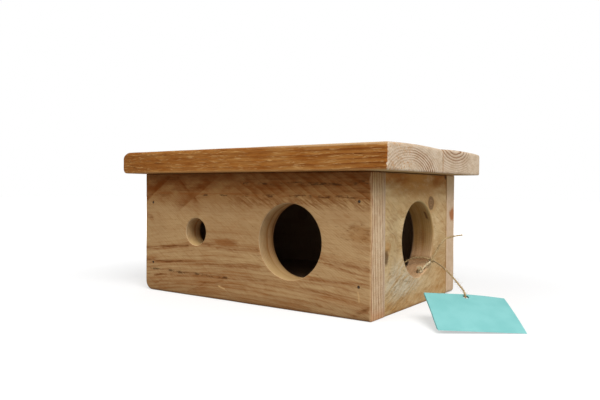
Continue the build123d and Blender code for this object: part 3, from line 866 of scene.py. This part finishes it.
def board(name, axis, pitch, low_radii, high_radii, corner_radius, corners, seed, crown=0.0, wander=0.14):
    """A board in its node's box. Its faces lie across the axis: low_radii and high_radii ease their edges,
    with one size or one for each side, and corner_radius or corners ease the edges along the axis."""
    low, high = np.array(box(name))
    across = [a for a in range(3) if a != axis]
    points, quads = lattice([grid_lines(low[a], high[a], pitch) for a in range(3)])
    centre, half = (low + high) / 2, (high - low) / 2
    offset = points - centre
    sign = np.where(offset < 0, -1, 1)
    radius = np.full(len(points), corner_radius)
    for (first, second), size in corners.items():
        radius[(sign[:, across[0]] == first) & (sign[:, across[1]] == second)] = size

    # Edges along the axis, then the edges of both faces, whose ease varies along them
    past = np.abs(offset[:, across]) - half[across] + radius[:, None]
    inset = radius - past.max(1)
    eased = np.stack(rounded_pair(past[:, 0], past[:, 1]), 1)
    flat = ~((past > 0).all(1))
    outward = eased.copy()
    outward[flat] = np.eye(2)[past[flat].argmax(1)]
    outward /= np.maximum(np.linalg.norm(outward, axis=1), 1e-9)[:, None]
    offset[:, across] = sign[:, across] * (half[across] - radius[:, None] + eased)

    ease = np.where(sign[:, axis] < 0, side_sizes(low_radii, offset, half, across),
                    side_sizes(high_radii, offset, half, across))
    ease *= 1 + 0.3 * noise_at(points, 17.0, seed) + 0.15 * noise_at(points, 5.0, seed + 3)
    depth = half[axis] - np.abs(offset[:, axis])
    reach_in, reach_down = ease - inset, ease - depth
    new_in, new_down = rounded_pair(reach_in, reach_down)
    offset[:, across] -= sign[:, across] * outward * (reach_in - new_in)[:, None]
    offset[:, axis] -= sign[:, axis] * (reach_down - new_down)
    offset[:, 2] -= crown * (offset[:, 1] / half[1]) ** 2 * np.maximum(offset[:, 2], 0) / half[2]
    made = piece(name + "_board", (centre + offset, quads))
    normals = np.array([vertex.normal for vertex in made.data.vertices])
    waves = 0.5 + 0.5 * noise_at(points, 31.0, seed + 5)
    places = (centre + offset) - normals * (wander * np.clip(waves, 0, 1))[:, None]
    made.data.vertices.foreach_set("co", (places * MM).ravel())
    made.data.update()
    return made


def dress(made, body, slot, material):
    """Gives a board its material and puts it in the place of its node."""
    made.data.materials.clear()
    made.data.materials.append(material)
    settle(made, body, slot, made.name.removesuffix("_board"))


def build_boards():
    # The wood has closed round the sunk nails, so the mouths are narrower than the heads
    nail_mouth = turned([(0, 2.0), (NAIL_MOUTH + 0.2, 2.0), (NAIL_MOUTH, -0.2), (NAIL_MOUTH, -1.2),
                         (0, -1.2)], 20)
    front = board("front_panel", 1, 3.0, 1.3, 0.4, 0.8, {(-1, -1): 7.5, (1, 1): 1.6}, 1.3)
    drills = [placed(bore(diameter, FRONT_DEPTH, RIM_RADIUS, tear, x), facing((x, FRONT_Y, z), FORWARD))
              for (x, z, diameter), tear in ((ENTRANCE, ENTRANCE_TEAR), (SMALL_HOLE, SMALL_HOLE_TEAR))]
    cut_away(front, *drills, *on_face(nail_mouth, FRONT_Y, FORWARD, FRONT_NAILS))
    dress(front, "box", "front_wood", front_finish())

    back = board("back_panel", 1, 3.2, 0.4, 1.3, 0.9, {(1, -1): 3.0}, 4.1)
    cut_away(back, *on_face(nail_mouth, BACK_Y, BACKWARD, BACK_NAILS + FLOOR_NAILS))
    dress(back, "box", "side_wood",
          plain_finish("back_wood", 1, 2, (204, 172, 128), (186, 148, 102), (150, 102, 58), 3.0))

    right = board("right_end_panel", 0, 3.0, 0.3, 0.5, 0.3, {}, 7.7)
    end_bore = bore(END_HOLE[2], END_DEPTH, END_RIM_RADIUS, 0.0, 3.1)
    cut_away(right, placed(end_bore, facing((END_X, END_HOLE[0], END_HOLE[1]), TO_RIGHT)))
    dress(right, "box", "side_wood", end_finish())

    left = board("left_end_panel", 0, 3.4, 0.5, 0.3, 0.3, {}, 9.2)
    dress(left, "box", "side_wood",
          plain_finish("left_wood", 0, 2, (206, 178, 134), (190, 156, 110), (156, 112, 66), 8.0))
    floor = board("floor_board", 2, 4.0, 0.4, 0.3, 0.3, {}, 2.9)
    dress(floor, "box", "side_wood",
          plain_finish("floor_wood", 2, 1, (200, 170, 126), (182, 146, 100), (146, 102, 60), 5.0))

    # Roof planks: eases of the front and rear face, seed, and the pith and rings of the end grain
    front_rings = ((0, 0.7), (4, 0.5), (6, 0.15), (9, 0.4), (12, 0.95), (18, 1.0), (21, 0.35), (26, 0.08))
    rear_rings = ((0, 0.9), (11, 0.9), (15, 0.5), (22, 0.32), (28, 0.0))
    at_seam = (0.4, 0.4, 0.4, 1.0)
    front_grain = ((-54.0, 97.0), 0.45, 1.65, 0.0, front_rings, 1.0)
    rear_grain = ((29.0, 123.0), 0.42, 5.6, 0.011, rear_rings, 6.0)
    planks = (("front_roof", (1.8, 1.8, 1.3, 2.6), at_seam, 5.6, front_grain),
              ("rear_roof", at_seam, (1.8, 1.8, 1.8, 4.0), 8.4, rear_grain))
    ends = {(-1, 1): 7.0, (-1, -1): 4.5, (1, 1): 2.4, (1, -1): 1.4}
    countersink = turned([(0, 4.0), (4.9, 4.0), (4.1, 0.5), (3.95, -0.6), (2.1, -2.5), (0, -2.5)], 40)
    for number, (name, low_radii, high_radii, seed, grain) in enumerate(planks):
        plank = board(name + "_board", 1, 3.0, low_radii, high_radii, 0.5, ends, seed, crown=0.9, wander=0.2)
        spots = [(x, y, SCREW_Z) for x, y in SCREWS[number::2]]
        cut_away(plank, *[placed(countersink, facing(spot, UPWARD)) for spot in spots])
        dress(plank, "roof", "roof_wood", roof_finish(name + "_wood", *grain))


def build_fasteners(steel):
    """Lost-head nails with hammered heads, countersunk screws with cross recesses, and the tack."""
    nail = turned([(0, 0.0), (0.55, -0.03), (1.0, -0.1), (1.17, -0.25), (1.2, -0.45), (0.82, -1.05),
                   (0.8, 3 - NAIL_LENGTH), (0.12, -NAIL_LENGTH), (0, -NAIL_LENGTH)], 20)
    nail_rows = (("front_nails", FRONT_Y + NAIL_SINK, FORWARD, FRONT_NAILS),
                 ("back_nails", BACK_Y - NAIL_SINK, BACKWARD, BACK_NAILS),
                 ("floor_nails", BACK_Y - NAIL_SINK, BACKWARD, FLOOR_NAILS))
    for name, y, outward, spots in nail_rows:
        settle(piece(name + "_steel", joined(on_face(nail, y, outward, spots)), steel), "box", "steel", name)

    outline = [(0, -0.06), (2.6, -0.03), (3.5, -0.05), (3.76, -0.2), (3.8, -0.4), (2.0, -2.3),
               (1.75, THREAD_TOP + 0.6)]
    for turn in range(THREAD_COUNT):
        height = THREAD_TOP - THREAD_PITCH * turn
        outline += [(1.35, height), (1.88, height - 0.9), (1.88, height - 1.1), (1.35, height - 2.0)]
    outline += [(1.2, 2.8 - SCREW_LENGTH), (0.14, -SCREW_LENGTH), (0, -SCREW_LENGTH)]
    places = [facing((x, y, SCREW_Z), UPWARD) @ Matrix.Rotation(0.5 + 1.9 * number, 4, "Z")
              for number, (x, y) in enumerate(SCREWS)]
    screw = turned(outline, 36)
    screws = piece("roof_screws_steel", joined([placed(screw, place) for place in places]), steel)
    sunk = Matrix.Translation((0, 0, -0.35))
    arm = lattice([np.array([-part / 2, part / 2]) for part in (4.6, 1.0, 2.7)])
    for turn in (0.0, math.pi / 2):
        cut_away(screws, *[placed(arm, place @ Matrix.Rotation(turn, 4, "Z") @ sunk) for place in places])
    settle(screws, "roof", "steel", "roof_screws")

    tack = turned([(0, TACK_TOP), (0.6, TACK_TOP - 0.03), (1.15, TACK_TOP - 0.12), (1.4, TACK_TOP - 0.3),
                   (1.4, TACK_STAND), (0.5, TACK_STAND - 0.1), (0.5, -4.6), (0.1, -6.1), (0, -6.1)], 24)
    tack = placed(tack, facing(TACK_FOOT, TACK_OUT))
    settle(piece("twine_tack_steel", tack, steel), "box", "steel", "twine_tack")


def spline_points(points):
    """Points along the smooth line that has the route's points as its controls."""
    curve = bpy.data.curves.new("route", "CURVE")
    curve.dimensions = "3D"
    curve.resolution_u = 36
    spline = curve.splines.new("NURBS")
    spline.points.add(len(points) - 1)
    for control, point in zip(spline.points, points):
        control.co = (*(Vector(point) * MM), 1.0)
    spline.order_u = 3
    spline.use_endpoint_u = True
    holder = bpy.data.objects.new("route", curve)
    mesh = bpy.data.meshes.new_from_object(holder)
    line = np.array([vertex.co for vertex in mesh.vertices]) / MM
    bpy.data.objects.remove(holder)
    bpy.data.curves.remove(curve)
    bpy.data.meshes.remove(mesh)
    return line


def frames_along(line, closed=False):
    """Directions along a line, with two steady crosswise directions at each point."""
    if closed:
        ahead = np.roll(line, -1, 0) - np.roll(line, 1, 0)
    else:
        ahead = np.gradient(line, axis=0)
    ahead /= np.linalg.norm(ahead, axis=1)[:, None]
    side = np.cross(ahead[0], (0.31, 0.27, 0.91))
    sides = []
    for direction in ahead:
        side = side - direction * (side @ direction)
        side /= np.linalg.norm(side)
        sides.append(side)
    sides = np.array(sides)
    return ahead, sides, np.cross(ahead, sides)


def tube(line, radii, sides, closed=False):
    """A tube along a line, capped where it is open."""
    _, first, second = frames_along(line, closed)
    turns = 2 * np.pi * np.arange(sides) / sides
    ring = np.cos(turns)[None, :, None] * first[:, None] + np.sin(turns)[None, :, None] * second[:, None]
    points = (line[:, None] + ring * np.asarray(radii)[:, None, None]).reshape(-1, 3)
    sheet = np.arange(len(points)).reshape(-1, sides)
    ends = [] if closed else [sheet[0, ::-1], sheet[-1]]
    sheet = np.pad(sheet, ((0, int(closed)), (0, 1)), "wrap")
    return points, [*quads_on(sheet.T), *ends]


def twisted(line, diameter, lay_length, closed=False, phase=0.0):
    """Two plies laid round each other along a line."""
    _, first, second = frames_along(line, closed)
    steps = np.linalg.norm(np.diff(line, axis=0), axis=1)
    travelled = np.concatenate([[0], np.cumsum(steps)])
    shapes = []
    for ply in range(2):
        turn = 2 * np.pi * travelled / lay_length + math.pi * ply + phase
        centre = line + 0.21 * diameter * (np.cos(turn)[:, None] * first + np.sin(turn)[:, None] * second)
        swell = np.array([1 + 0.14 * noise.noise((0.9 * run, 5.0 * ply + phase, 1.0)) for run in travelled])
        shapes.append(tube(centre, 0.34 * diameter * swell, 8, closed))
    return joined(shapes)


def hairs(chance, line, count, reach, lengths, thick=0.07):
    """Loose fibres that stand off a line: thin bent tubes."""
    ahead, first, second = frames_along(line)
    shares = np.linspace(0, 1, 5)[:, None]
    shapes = []
    for _ in range(count):
        at = chance.randrange(2, len(line) - 2)
        turn = chance.uniform(0, 2 * math.pi)
        out = math.cos(turn) * first[at] + math.sin(turn) * second[at]
        length = chance.uniform(*lengths)
        lean = chance.choice((-1, 1)) * chance.uniform(0.5, 1.6)
        heading = out + lean * ahead[at]
        heading /= np.linalg.norm(heading)
        bend = np.array([chance.uniform(-1, 1) for _ in range(3)])
        path = line[at] + out * reach + heading * length * shares + bend * 0.45 * length * shares ** 2
        path[:, 2] = np.maximum(path[:, 2], 0.3)
        shapes.append(tube(path, np.linspace(thick, 0.35 * thick, 5), 4))
    return joined(shapes)


def knot_shape(centre, radius, turn):
    """An overhand knot, pulled tight: a closed three-lobed turn of the twine."""
    shares = np.linspace(0, 2 * np.pi, 121)[:-1]
    scale = (radius - 0.5 * TWINE) / 3
    loop = np.stack([np.sin(shares) + 2 * np.sin(2 * shares), np.cos(shares) - 2 * np.cos(2 * shares),
                     -1.7 * np.sin(3 * shares)], 1) * scale
    place = Matrix.Translation(centre) @ Matrix.Rotation(turn, 4, "Y") @ Matrix.Rotation(0.5 * turn, 4, "X")
    return twisted(placed((loop, []), place)[0], 1.06 * TWINE, KNOT_LAY, closed=True)


def build_twine(jute, frayed):
    chance = random.Random(FIBRE_SEED)
    hole = TAG_PLACE @ leaf_point(0, TAG_HOLE_FROM_FOLD, 0)
    over_fold = TAG_PLACE @ leaf_point(0, 0, 0) + Vector((0, 0, LEAD_OVER_FOLD))
    stopper = TAG_PLACE @ leaf_point(0, TAG_HOLE_FROM_FOLD + STOPPER_SLIP, -STOPPER_DEPTH)

    anchor_line = spline_points([TACK_FOOT + TACK_OUT * (TACK_STAND / 2), KNOT + Vector(ANCHOR_BEND), KNOT])
    lead_line = spline_points([KNOT] + [KNOT + Vector(step) for step in LEAD] + [over_fold, hole, stopper])
    inner_line = spline_points([KNOT] + [KNOT + Vector(step) for step in INNER_TAIL])
    outer_line = spline_points([KNOT] + [KNOT + Vector(step) for step in OUTER_TAIL])

    def twine_piece(name, shape, material, *nodes):
        return settle(piece(name, shape, material), "box", "twine", *nodes)

    def strand(node, line, phase, material):
        return twine_piece(node + "_laid", twisted(line, TWINE, STRAND_LAY, phase=phase), material, node)

    anchor = strand("twine_anchor_strand", anchor_line, 0.4, frayed)
    lead = strand("twine_tag_lead", lead_line, 0.0, jute)
    inner = strand("twine_inner_tail", inner_line, 1.1, jute)
    outer = strand("twine_outer_tail", outer_line, 2.2, jute)
    rim_knot = twine_piece("twine_knot_tied", knot_shape(KNOT, KNOT_RADIUS, 0.6), jute, "twine_knot")
    stopper_shape = knot_shape(stopper, STOPPER_RADIUS, 1.4)
    tag_knot = twine_piece("tag_stopper_knot_tied", stopper_shape, jute, "tag_stopper_knot")

    def fibres(name, material, *rows):
        return twine_piece(name, joined([hairs(chance, *row) for row in rows]), material)

    # Fibres: line, number, distance from the line, shortest and longest, and thickness
    tuft_line = np.array([TACK_FOOT + TACK_OUT * share for share in np.linspace(1.7, 3.0, 9)])
    collar_line = tuft_line - np.array(TACK_OUT * 0.7)
    lead_fuzz = fibres("twine_lead_fibres", jute, (lead_line, 90, 0.5, (1.2, 3.4)))
    inner_fuzz = fibres("twine_inner_fibres", jute, (inner_line, 40, 0.5, (1.0, 2.8)),
                        (inner_line[-14:], 14, 0.2, (1.6, 3.6)))
    outer_fuzz = fibres("twine_outer_fibres", jute, (outer_line, 50, 0.5, (1.0, 2.8)),
                        (outer_line[-14:], 10, 0.2, (1.2, 2.4)))
    tuft = fibres("tack_tuft", frayed, (tuft_line, 420, 0.3, (0.9, 2.6), 0.2),
                  (collar_line, 160, 1.2, (0.6, 1.5), 0.2), (anchor_line, 60, 0.5, (0.8, 2.2), 0.1))


def card_path(share):
    """Distance down the leaf, height over the front face and outward direction, on the middle of the card's
    thickness, from the front leaf's lower edge at 0, over the fold, to the rear leaf's lower edge at 1."""
    bend = (TAG_DEPTH - TAG_THICKNESS) / 2
    front_run = TAG_LEAF - TAG_DEPTH / 2
    turn_run = math.pi * bend
    rear_run = front_run - (TAG_DEPTH - TAG_THICKNESS) / math.tan(TAG_SLOPE)
    travelled = share * (front_run + turn_run + rear_run)
    if travelled < front_run:
        return TAG_LEAF - travelled, -TAG_THICKNESS / 2, (0.0, 1.0)
    if travelled < front_run + turn_run:
        turn = (travelled - front_run) / bend
        return (TAG_DEPTH / 2 - bend * math.sin(turn), -TAG_DEPTH / 2 + bend * math.cos(turn),
                (-math.sin(turn), math.cos(turn)))
    down = TAG_DEPTH / 2 + travelled - front_run - turn_run
    return down, TAG_THICKNESS / 2 - TAG_DEPTH, (0.0, -1.0)


def leaf_point(width, down, height):
    """A point of the tag from its place across, distance down the leaf and height over the front face."""
    return Vector((width, -down * math.cos(TAG_SLOPE) - height * math.sin(TAG_SLOPE),
                   TAG_RISE - down * math.sin(TAG_SLOPE) + height * math.cos(TAG_SLOPE)))


def build_tag(card):
    """Folded card: one bent sheet with thickness, softly bowed leaves and a punched hole."""
    widths = np.linspace(-TAG_WIDTH / 2, TAG_WIDTH / 2, 41)
    # Rows of points along the card: first and last share, and number, closest together at the fold
    runs = ((0, 0.487, 34), (0.492, 0.512, 14), (0.517, 1, 30))
    shares = np.concatenate([np.linspace(*run) for run in runs])
    points = []
    for layer in (0.5, -0.5):
        for share in shares:
            down, height, outward = card_path(share)
            for width in widths:
                middle = math.sin(math.pi * min(1.0, down / TAG_LEAF))
                edge = 2 * width / TAG_WIDTH
                bow = (0.55 * middle + 0.1 * noise.noise((width / 14, down / 14, 3.0))) * min(1.0, down / 6)
                sag = 0.9 * middle * (1 - edge ** 2) * (height < -TAG_DEPTH / 2) * min(1.0, down / 12)
                droop = 2.0 * max(0.0, edge) ** 1.5 * max(0.0, 1 - down / TAG_LEAF)
                lift = bow - sag - droop + layer * TAG_THICKNESS * outward[1]
                place = leaf_point(width, down + layer * TAG_THICKNESS * outward[0], height + lift)
                place.z = max(place.z, 0.02)
                points.append(TAG_PLACE @ place)
    outer, inner = np.arange(len(points)).reshape(2, len(shares), len(widths))
    edges = [np.concatenate([sheet[:, 0], sheet[-1, 1:], sheet[-2::-1, -1], sheet[0, -2::-1]])
             for sheet in (outer, inner)]
    faces = [*quads_on(outer.T), *quads_on(inner.T)[:, ::-1], *quads_on(np.array(edges).T)]
    made = piece("swing_tag_card", (points, faces), card, sharp=50)
    outward = TAG_PLACE.to_3x3() @ Vector((0, -math.sin(TAG_SLOPE), math.cos(TAG_SLOPE)))
    punch = turned([(0, 3.0), (TAG_HOLE_DIAMETER / 2, 3.0), (TAG_HOLE_DIAMETER / 2, -4.0), (0, -4.0)], 40)
    cut_away(made, placed(punch, facing(TAG_PLACE @ leaf_point(0, TAG_HOLE_FROM_FOLD, 0), outward)))
    settle(made, "box", "card", "swing_tag")


def build_stage():
    """White ground that keeps the shadow, soft studio light, and the photograph's camera."""
    signs = ((-1, -1), (1, -1), (1, 1), (-1, 1))
    corners = [(GROUND_HALF * x, GROUND_HALF * y, GROUND_DROP) for x, y in signs]
    ground = piece("ground", (corners, [(0, 1, 2, 3)]))
    pale = Finish("ground")
    pale.done((0.5, 0.5, 0.5, 1.0), 0.9, 0.1)
    path = pale.node("ShaderNodeLightPath")
    camera_ray, glossy_ray, clear_ray = [
        Value(pale, path.outputs[f"Is {kind} Ray"]) for kind in ("Camera", "Glossy", "Transmission")]
    seen = camera_ray.larger(glossy_ray).larger(clear_ray)
    away = pale.vector("LENGTH", pale.place).step(220.0, 620.0)
    pale.fill(pale.shader, {"Emission Color": (1, 1, 1, 1), "Emission Strength": seen * (0.5 + 0.6 * away)})
    ground.data.materials.append(pale.material)

    world = bpy.data.worlds.new("soft_sky")
    scene.world = world
    world.use_nodes = True
    tree = world.node_tree
    tree.nodes.clear()
    out, background, path, strength, seen = [tree.nodes.new("ShaderNode" + kind) for kind in (
        "OutputWorld", "Background", "LightPath", "MapRange", "Math")]
    background.inputs["Color"].default_value = (1, 1, 1, 1)
    strength.inputs["To Min"].default_value = 0.42
    strength.inputs["To Max"].default_value = 1.0
    seen.operation = "MAXIMUM"
    tree.links.new(path.outputs["Is Camera Ray"], seen.inputs[0])
    tree.links.new(path.outputs["Is Transmission Ray"], seen.inputs[1])
    tree.links.new(seen.outputs[0], strength.inputs["Value"])
    tree.links.new(strength.outputs[0], background.inputs["Strength"])
    tree.links.new(background.outputs[0], out.inputs["Surface"])

    # Lamps: place and width in metres, and power
    lamps = (("key", (1.0, -0.7, 1.4), 1.2, 26.0), ("fill", (-0.7, -1.3, 1.5), 1.5, 10.0))
    for name, place, size, power in lamps:
        lamp = bpy.data.lights.new(name, "AREA")
        lamp.shape = "DISK"
        lamp.size = size
        lamp.energy = power
        holder = bpy.data.objects.new(name, lamp)
        holder.location = place
        holder.rotation_mode = "QUATERNION"
        holder.rotation_quaternion = (Vector((0, 0, 0.05)) - Vector(place)).to_track_quat("-Z", "Y")
        scene.collection.objects.link(holder)

    level = Vector((math.cos(CAMERA_TURN), math.sin(CAMERA_TURN), 0))
    forth = math.cos(CAMERA_DIP)
    ahead = Vector((-math.sin(CAMERA_TURN) * forth, math.cos(CAMERA_TURN) * forth, -math.sin(CAMERA_DIP)))
    upright = level.cross(ahead)
    right = math.cos(CAMERA_ROLL) * level + math.sin(CAMERA_ROLL) * upright
    up = math.cos(CAMERA_ROLL) * upright - math.sin(CAMERA_ROLL) * level
    lens = bpy.data.cameras.new("camera")
    lens.lens = CAMERA_LENS
    lens.sensor_width = CAMERA_SENSOR
    lens.clip_start = 0.01
    camera = bpy.data.objects.new("camera", lens)
    turn = Matrix((right, up, -ahead)).transposed().to_4x4()
    camera.matrix_world = Matrix.Translation(CAMERA_PLACE) @ turn
    scene.collection.objects.link(camera)
    scene.camera = camera
    scene.view_settings.view_transform = "Standard"


steel_material = steel_finish()
build_stage()
build_boards()
build_fasteners(steel_material)
build_tag(card_finish())
build_twine(twine_finish("jute", (172, 144, 98), (200, 176, 130), (122, 94, 56)),
            twine_finish("frayed_jute", (224, 206, 166), (242, 228, 196), (186, 160, 116)))
